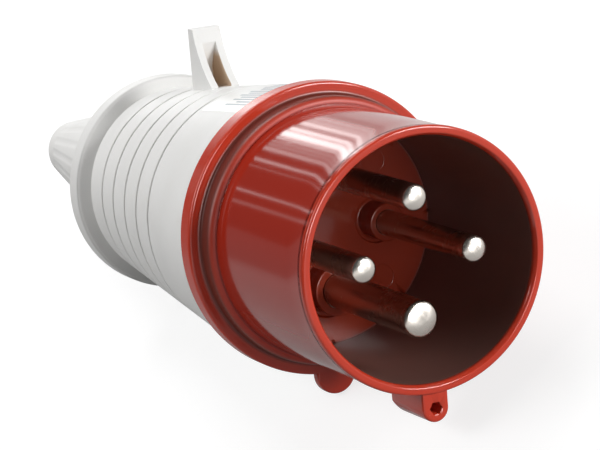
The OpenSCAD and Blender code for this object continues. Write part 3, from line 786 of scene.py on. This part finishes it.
def new_material(name):
    """A material with its node tree and its shader."""
    made = bpy.data.materials.new(name)
    made.use_nodes = True
    return made, made.node_tree, made.node_tree.nodes["Principled BSDF"]


def finish_material(name, colour, worn, rough, grain, waviness, scratches, rubs, dust,
                    depth=0.00004, metal=0.0, specular=0.5):
    """Material whose colour goes from clean to worn with the marks, and whose roughness rises with them."""
    made, tree, shader = new_material(name)
    where = on_object(tree)
    skin = use_group(tree, grain_group, {"Vector": where, "Grain": grain, "Waviness": waviness})
    wear = use_group(tree, marks_group, {"Vector": where, "Scratches": scratches, "Rubs": rubs})
    dirt = use_group(tree, dust_group, {"Vector": where, "Amount": dust})
    tone = remap(tree, skin.outputs["Tone"], 0.0, 1.0, 0.93, 1.07)
    shaded = vector(tree, "SCALE", colour, scale=tone)
    colour_out = mixed(tree, wear.outputs["Mask"], shaded, (*worn, 1))
    colour_out = mixed(tree, dirt.outputs["Mask"], colour_out, DUST_COLOUR)
    tree.links.new(colour_out, shader.inputs["Base Color"])
    dull = math(tree, "ADD", times(tree, wear.outputs["Mask"], 0.25), rough)
    dull = math(tree, "ADD", times(tree, dirt.outputs["Mask"], 0.3), dull)
    tree.links.new(dull, shader.inputs["Roughness"])
    bump = node(tree, "Bump", {"Height": skin.outputs["Height"], "Distance": depth, "Strength": 1.0})
    tree.links.new(bump.outputs["Normal"], shader.inputs["Normal"])
    shader.inputs["Metallic"].default_value = metal
    shader.inputs["Specular IOR Level"].default_value = specular
    return made


# %% [markdown]
# ## Painted shade on the red
#
# The red is painted darker where shade falls. It is painted darker, and made duller, in the corner between
# step and flange, on the wall of the bore and on the floor inside: painted shade in these hollows. The tube's
# outside is painted a deeper red, as painted shade on its sides, and the flange's edge is a little more matt.
# All of these are plain ranges of distance behind the rim and from the axis, so the plug coordinates give
# their masks.

# %% Paint shade on the red


def band(tree, value, low, high, soft):
    """1 between low and high, falling to 0 over the soft width on both sides."""
    return times(tree, remap(tree, value, low - soft, low), remap(tree, value, high + soft, high))


def paint_shade_on_red(material):
    """Paints shade: darkens corner, floor and bore, darkens the tube's red, and makes step, edge and bore
    more matt.
    """
    tree = material.node_tree
    shader = tree.nodes["Principled BSDF"]
    place = use_group(tree, axes_group, {"Vector": on_object(tree)})
    z, r = place.outputs["Behind rim"], place.outputs["From axis"]
    # Masks of the painted shade: the crease by the flange, the tube's outside, the floor inside and the bore
    # wall.
    corner = times(tree, band(tree, z, STEP_FRONT + 1.0, FLANGE_FRONT, 1.0), band(tree, r, 25.4, 26.5, 0.6))
    edge = band(tree, r, 28.5, 29.0, 0.15)
    tube = times(tree, band(tree, z, 1.5, STEP_FRONT, 0.3), band(tree, r, 24.3, 25.0, 0.15))
    inner_floor_shade = times(tree, band(tree, z, BOSS_TOP - 0.5, FLOOR + 1.0, 0.5), band(tree, r, -1.0, 22.7, 0.1))
    bore = times(tree, band(tree, z, 1.6, FLOOR - 0.3, 0.8), band(tree, r, 22.6, 23.1, 0.1))
    shaded_red = shader.inputs["Base Color"].links[0].from_socket
    # Painted shade: a near-black in the crease, a darker red on the tube, a dark red on the floor inside and
    # a dark brown on the bore wall.
    for mask, share, colour in ((corner, 0.8, (0.045, 0.018, 0.012)), (tube, 1.0, (0.34, 0.021, 0.009)),
                                (inner_floor_shade, 0.7, (0.24, 0.036, 0.016)), (bore, 0.94, (0.145, 0.088, 0.074))):
        shaded_red = mixed(tree, times(tree, mask, share), shaded_red, (*colour, 1))
    tree.links.new(shaded_red, shader.inputs["Base Color"])
    rough = shader.inputs["Roughness"].links[0].from_socket
    step = times(tree, band(tree, z, STEP_FRONT, FLANGE_FRONT, 0.1), band(tree, r, 25.0, 26.6, 0.3))
    matt = math(tree, "MAXIMUM", math(tree, "MAXIMUM", step, times(tree, edge, 0.4)), times(tree, bore, 0.6))
    tree.links.new(math(tree, "MULTIPLY_ADD", matt, 0.33, rough), shader.inputs["Roughness"])


# %% [markdown]
# ## Painted shade in the catch's pocket
#
# The walls inside the catch's pocket are painted a darker tan, as painted shade in the pocket.
# They lie at one distance from the middle plane, in front of the catch's back
# and above the housing, so three ranges find them.

# %% Paint shade in the pocket


def along(tree, offset, way):
    """Millimetres that an offset in metres reaches along a direction."""
    return vector(tree, "DOT_PRODUCT", offset, tuple(way * 1000))


def paint_pocket_shade(material):
    """Mixes a tan into the two side walls of the catch's pocket, as painted shade."""
    tree = material.node_tree
    shader = tree.nodes["Principled BSDF"]
    where = on_object(tree)
    place = use_group(tree, axes_group, {"Vector": where})
    across = math(tree, "ABSOLUTE", along(tree, from_rim(tree, where), side))
    # Painted shade: the pocket's two side walls go towards a darker tan.
    walls = times(tree, band(tree, across, POCKET_HALF - 0.3, POCKET_HALF + 0.02, 0.02),
                  band(tree, place.outputs["Behind rim"], CATCH_REAR - 9.0, CATCH_REAR - 0.9, 0.3),
                  band(tree, place.outputs["From axis"], housing_r(CATCH_REAR) + 1.2, CAP - 3.2, 1.5), 0.9)
    old = shader.inputs["Base Color"].links[0].from_socket
    tree.links.new(mixed(tree, walls, old, (0.60, 0.44, 0.30, 1)), shader.inputs["Base Color"])


# %% [markdown]
# ## Plastics and rubber
#
# The red polyamide is glossy and saturated, with very few scratches. The
# grey is satin, warm and nearly white in full light. Inside parts are
# darker, plainer plastics, and the seal and the cable's sleeve are rubber.

# %% Make the plastics
red_plastic = finish_material("glossy_red_polyamide", (0.52, 0.040, 0.017), (0.47, 0.05, 0.03), 0.10,
                              0.05, 0.9, 0.25, 0.05, 0.04, 0.00002)
paint_shade_on_red(red_plastic)
grey_plastic = finish_material("satin_warm_grey_polyamide", (0.82, 0.815, 0.80), (0.68, 0.66, 0.62), 0.42,
                               0.5, 1.0, 0.2, 0.14, 0.05, specular=0.1)
paint_pocket_shade(grey_plastic)
carrier_plastic = finish_material("black_terminal_plastic", (0.035, 0.036, 0.038), (0.10, 0.10, 0.10), 0.42,
                                  0.7, 1.0, 0.3, 0.3, 0.1)
cage_plastic = finish_material("dark_cage_plastic", (0.06, 0.062, 0.066), (0.14, 0.14, 0.14), 0.38,
                               0.6, 1.0, 0.3, 0.2, 0.1)
seal_rubber = finish_material("black_rubber", (0.02, 0.02, 0.021), (0.06, 0.06, 0.06), 0.62,
                              1.2, 0.6, 0.1, 0.4, 0.3)
print("plastics ready")

# %% [markdown]
# ## Metals
#
# The pins are brass with a warm nickel plating. Turning leaves rings round
# each pin, so a noise is read along the plug only: points at the same
# distance behind the rim get the same value, which gives rings for free.
# Behind the tips the colour is painted darker, as painted shade on the shanks deep in the shroud. The fine
# grooves of turning also stretch the shine across themselves. An anisotropic shader does that, if its tangent
# runs round each pin's own axis.

# %% Make the metals


def metal_material(name, colour, worn, rough, rings, shank_shade_colour):
    """Metal with rings in its roughness, a noise of the distance behind the rim, and painted shade that
    darkens it behind the tips.
    """
    made = finish_material(name, colour, worn, rough, 0.3, 0.4, 0.5, 0.25, 0.05, 0.00002, metal=1.0)
    tree = made.node_tree
    shader = tree.nodes["Principled BSDF"]
    where = on_object(tree)
    place = use_group(tree, axes_group, {"Vector": where})
    behind_rim = place.outputs["Behind rim"]
    turning = node(tree, "TexNoise", {"W": times(tree, behind_rim, rings), "Scale": 1.0, "Detail": 3.0},
                   noise_dimensions="1D")
    # Painted shade: from 3 to 4.8 mm behind the rim the colour goes three quarters of the way to the darker
    # shank shade colour.
    shank = remap(tree, behind_rim, 3.0, 4.8, 0.0, 0.75)
    clean = shader.inputs["Base Color"].links[0].from_socket
    tree.links.new(mixed(tree, shank, clean, (*shank_shade_colour, 1)), shader.inputs["Base Color"])
    old = shader.inputs["Roughness"].links[0].from_socket
    uneven = times(tree, math(tree, "SUBTRACT", turning.outputs["Fac"], 0.5), 0.06)
    tree.links.new(math(tree, "ADD", old, uneven), shader.inputs["Roughness"])
    return made


def brush_round_pins(material):
    """Anisotropic shine; its tangent is square to the offset (a, b) from the nearest pin's middle."""
    tree = material.node_tree
    shader = tree.nodes["Principled BSDF"]
    offset = from_rim(tree, on_object(tree))
    a, b = along(tree, offset, side), along(tree, offset, noon)
    wider = math(tree, "GREATER_THAN", math(tree, "ABSOLUTE", a), math(tree, "ABSOLUTE", b))
    mid_a = times(tree, math(tree, "SIGN", a), wider, PIN_CIRCLE)
    mid_b = times(tree, math(tree, "SIGN", b), math(tree, "SUBTRACT", 1.0, wider), PIN_CIRCLE)
    along_noon = vector(tree, "SCALE", tuple(noon), scale=math(tree, "SUBTRACT", a, mid_a))
    along_side = vector(tree, "SCALE", tuple(side), scale=math(tree, "SUBTRACT", b, mid_b))
    round_it = vector(tree, "NORMALIZE", vector(tree, "SUBTRACT", along_noon, along_side))
    tree.links.new(round_it, shader.inputs["Tangent"])
    shader.inputs["Anisotropic"].default_value = 0.65


plated_brass = metal_material("nickel_plated_brass", (0.78, 0.73, 0.67), (0.68, 0.60, 0.50), 0.25, 9.0,
                              (0.36, 0.27, 0.20))
brush_round_pins(plated_brass)
plated_steel = metal_material("zinc_plated_steel", (0.62, 0.63, 0.66), (0.45, 0.46, 0.48), 0.3, 6.0,
                              (0.5, 0.5, 0.52))
print("metals ready")

# %% [markdown]
# ## Label film
#
# The film is a bright satin foil. Many fine bars of different lengths stand
# for printed lines: the UV map's second direction picks the bar, and its
# first direction says how long the bar is. Nothing is written on it.

# %% Make the label
label_film, tree, shader = new_material("satin_label_film")
uv = node(tree, "SeparateXYZ", {"Vector": node(tree, "UVMap", uv_map="film").outputs["UV"]})
BARS = 22.0
row = times(tree, uv.outputs["Y"], BARS)
in_bar = math(tree, "COMPARE", math(tree, "FRACT", row), 0.5, 0.26)
length = node(tree, "TexWhiteNoise", {"W": math(tree, "FLOOR", row)}, noise_dimensions="1D")
reach = math(tree, "MULTIPLY_ADD", length.outputs["Value"], 0.22, 0.4)
ALONG_MARGIN, ACROSS_MARGIN = 0.03, 0.08
printed = times(tree, in_bar, math(tree, "LESS_THAN", uv.outputs["X"], reach),
                math(tree, "GREATER_THAN", uv.outputs["X"], ALONG_MARGIN),
                math(tree, "GREATER_THAN", uv.outputs["Y"], ACROSS_MARGIN),
                math(tree, "LESS_THAN", uv.outputs["Y"], 1 - ACROSS_MARGIN))
film_wear = use_group(tree, marks_group, {"Vector": on_object(tree), "Scratches": 0.3, "Rubs": 0.3})
paper = mixed(tree, film_wear.outputs["Mask"], (0.86, 0.86, 0.84, 1), (0.74, 0.73, 0.70, 1))
tree.links.new(mixed(tree, printed, paper, (0.30, 0.34, 0.38, 1)), shader.inputs["Base Color"])
tree.links.new(math(tree, "MULTIPLY_ADD", film_wear.outputs["Mask"], 0.3, 0.3), shader.inputs["Roughness"])
print("label ready")

# %% [markdown]
# ## Dressing the pieces
#
# New pieces get one material each. The model's own pieces that show through
# openings, such as the seal and the clamping cage, keep their shape and get
# their finish here too.

# %% Assign materials
dress = {
    red_plastic: [front_shell], grey_plastic: [housing, catch, gland_nut], plated_brass: pins,
    label_film: [label], carrier_plastic: [nodes["terminal_carrier"]], cage_plastic: [nodes["clamp_cage"]],
    seal_rubber: [nodes["flange_gasket"], nodes["cable_sleeve"]],
    plated_steel: [nodes[n] for n in nodes if "screw" in n or "plate" in n or "washer" in n],
}
for material, pieces in dress.items():
    for piece in pieces:
        piece.data.materials.clear()
        piece.data.materials.append(material)
print("dressed", sum(len(p) for p in dress.values()), "pieces")

# %% [markdown]
# ## Floor
#
# A pale floor carries the plug's shadow and curves up to a low wall all
# round, as a studio's cove does. Part of its brightness is its own, seen by
# the camera and, more weakly, in reflections, so that it stays white without
# stronger lamps, and the shadow still darkens the other part. Its own part
# grows outwards, where the lamps no longer reach. Reflections see less of it
# behind the plug on the left, which keeps the red deep there. No real floor
# does that: it stands for a darker side of the studio.

# %% Floor
GROUND, WALL, COVE = 3.0, 0.55, 1.4
reach = np.concatenate([np.linspace(0, GROUND - COVE, 9),
                        GROUND - COVE + COVE * np.sin(np.linspace(0.1, 1, 12) * np.pi / 2)])
rise = WALL * np.clip((reach - GROUND + COVE) / COVE, 0, 1) ** 2
turn_by = np.arange(64) * 2 * np.pi / 64
bowl = np.stack([reach[:, None] * np.cos(turn_by), reach[:, None] * np.sin(turn_by),
                 rise[:, None] + 0 * turn_by], 2)
ground_mesh = bpy.data.meshes.new("floor")
ground_mesh.from_pydata(bowl.reshape(-1, 3).tolist(), [], quads(bowl, (False, True))[:, ::-1].tolist())
tidy = bmesh.new()
tidy.from_mesh(ground_mesh)
bmesh.ops.remove_doubles(tidy, verts=tidy.verts, dist=1e-6)
tidy.to_mesh(ground_mesh)
tidy.free()
ground_mesh.shade_smooth()
ground = add_object("floor", ground_mesh)
pale, tree, shader = new_material("pale_floor")
shader.inputs["Base Color"].default_value = (0.32, 0.32, 0.32, 1)
shader.inputs["Roughness"].default_value = 0.9
shader.inputs["Specular IOR Level"].default_value = 0.0
rays = node(tree, "LightPath")
seen = math(tree, "MAXIMUM", rays.outputs["Is Camera Ray"], rays.outputs["Is Transmission Ray"])
spot = on_object(tree)
where = node(tree, "SeparateXYZ", {"Vector": spot})
beside = remap(tree, where.outputs["X"], -0.03, 0.08, 0.2, 0.65)
before = remap(tree, where.outputs["Y"], -0.1, -0.35)
mirrored_share = math(tree, "MAXIMUM", beside, before)
seen = math(tree, "MAXIMUM", seen, times(tree, rays.outputs["Is Glossy Ray"], mirrored_share))
own = remap(tree, vector(tree, "LENGTH", spot), 0.15, 1.2, 0.76, 1.0)
glow = node(tree, "Emission", {"Color": (1, 1, 1, 1), "Strength": times(tree, seen, own)})
both = node(tree, "AddShader", {0: shader.outputs[0], 1: glow.outputs[0]})
tree.links.new(both.outputs[0], tree.nodes["Material Output"].inputs["Surface"])
ground_mesh.materials.append(pale)
print("floor", 2 * GROUND, "m wide")

# %% [markdown]
# ## Light
#
# Four soft boxes light the plug: from the top, the left, the right and from
# before its mouth. Each is placed from the camera's own directions, so that
# it can be thought of as right, up and towards the viewer.

# %% Soft boxes
turn = camera.rotation_quaternion
to_right, to_top, to_viewer = turn @ Vector((1, 0, 0)), turn @ Vector((0, 1, 0)), turn @ Vector((0, 0, 1))
aim = Vector((0, -0.03, 0.03))


def lamp(name, place, wide, high, power, turned_to):
    """Area lamp at a place given from the aim, its width along turned_to, facing the plug."""
    light = bpy.data.lights.new(name, "AREA")
    light.shape, light.size, light.size_y, light.energy = "RECTANGLE", wide, high, power
    back = place.normalized()
    width = (turned_to - back * turned_to.dot(back)).normalized()
    holder = add_object(name, light)
    holder.location = aim + place
    holder.rotation_mode = "QUATERNION"
    holder.rotation_quaternion = Matrix((width, back.cross(width), back)).transposed().to_quaternion()


def box(name, right, top, near, wide, high, power):
    """Soft box at so many metres to the right, up and towards the viewer."""
    lamp(name, to_right * right + to_top * top + to_viewer * near, wide, high, power, to_right)


box("top_box", -0.36, 0.82, -0.10, 0.5, 0.45, 4.0)
box("left_fill", -0.80, 0.24, 0.3, 0.5, 0.4, 4.1)
box("right_box", 0.72, 0.36, 0.60, 0.35, 0.3, 7.6)
box("mouth_light", 0.42, -0.10, 0.88, 0.3, 0.2, 1.9)
print("soft boxes placed")

# %% [markdown]
# ## Streaks
#
# The bright streaks along the shroud are mirror images of narrow lamps behind
# the plug. A mirror turns the line of sight v into v - 2 (v . n) n, where n is
# the surface's direction. So to get a streak at a clock angle on the shroud,
# its lamp stands where that formula points.

# %% Streak lamps
sight = (aim - camera_at).normalized()
image_right = side if Vector(side).dot(to_right) > 0 else -side


def mirrored(angle):
    """Where the sight line goes once the shroud has mirrored it at a clock angle, as the camera sees it."""
    across, up = clock(angle)
    n = Vector(image_right * across + noon * up)
    return sight - n * (2 * sight.dot(n))


AWAY, TALL = 0.9, 0.3     # metres
# clock angle and width of each streak in degrees, and its brightness
streaks = [
    (-30.6, 1.5, 3.2), (-27.4, 3.8, 6.3), (-23.6, 2.8, 5.2), (-20.9, 1.0, 1.6), (-18.4, 3.0, 3.2),
    (-15.2, 2.4, 1.2), (-12.6, 1.0, 2.2), (-10.6, 1.8, 0.9), (-37.6, 2.2, 2.0), (-35.0, 1.6, 1.4),
    (-33.0, 0.9, 2.4), (-44.0, 1.4, 2.4), (-47.6, 0.5, 1.2), (-59.5, 1.1, 1.6), (-65.0, 1.6, 0.6)]
for i, (angle, width, brightness) in enumerate(streaks):
    first, last = mirrored(angle - width / 2), mirrored(angle + width / 2)
    wide = (last - first).length * AWAY
    lamp("streak_%d" % i, mirrored(angle) * AWAY, wide, TALL, brightness * np.pi * wide * TALL, last - first)
print(len(streaks), "streak lamps placed")

# %% [markdown]
# ## World
#
# The surroundings give a weak, even light, and are white where the camera
# sees them, directly or through something clear.

# %% World
AROUND = 0.08
world = bpy.data.worlds.new("studio")
bpy.context.scene.world = world
world.use_nodes = True
tree = world.node_tree
back = tree.nodes["Background"]
rays = node(tree, "LightPath")
seen = math(tree, "MAXIMUM", rays.outputs["Is Camera Ray"], rays.outputs["Is Transmission Ray"])
tree.links.new(math(tree, "MULTIPLY_ADD", seen, 1 - AROUND, AROUND), back.inputs["Strength"])
back.inputs["Color"].default_value = (1, 1, 1, 1)
bpy.context.scene.view_settings.view_transform = "Standard"
print("world ready")
